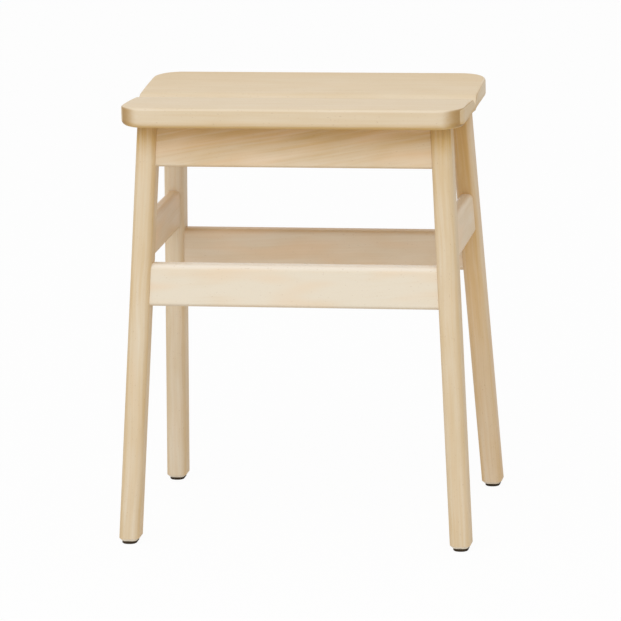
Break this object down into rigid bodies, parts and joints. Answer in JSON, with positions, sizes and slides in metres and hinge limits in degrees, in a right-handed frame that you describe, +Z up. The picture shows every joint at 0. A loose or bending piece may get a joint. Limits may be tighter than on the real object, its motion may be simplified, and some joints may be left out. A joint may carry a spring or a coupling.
{
  "type": "stacking stool",
  "caption": "Wooden stacking stool: a hollowed rectangular seat board on splayed legs joined by aprons, lower stretchers and higher side stretchers, with dark floor glides.",
  "frame": {"origin": "on the floor under the middle of the seat", "axes": "+Z up, the long side of the seat along X, the front frame on the -Y side"},
  "size_m": [0.365, 0.282, 0.45],
  "materials": {
    "seat_wood": "pale close-grained wood, clear satin lacquer",
    "leg_wood": "pale close-grained wood, grain along the leg, clear satin lacquer",
    "rail_wood": "pale close-grained wood, grain along the rail, clear satin lacquer",
    "glide_pad": "near-black, matt"
  },
  "bodies": {
    "root": {"seat": "seat_wood", "leg_front_left": "leg_wood", "leg_front_right": "leg_wood", "leg_back_left": "leg_wood", "leg_back_right": "leg_wood", "apron_front": "rail_wood", "apron_back": "rail_wood", "stretcher_front": "rail_wood", "stretcher_back": "rail_wood", "stretcher_left": "rail_wood", "stretcher_right": "rail_wood", "glide_front_left": "glide_pad", "glide_front_right": "glide_pad", "glide_back_left": "glide_pad", "glide_back_right": "glide_pad"}
  },
  "joints": []
}
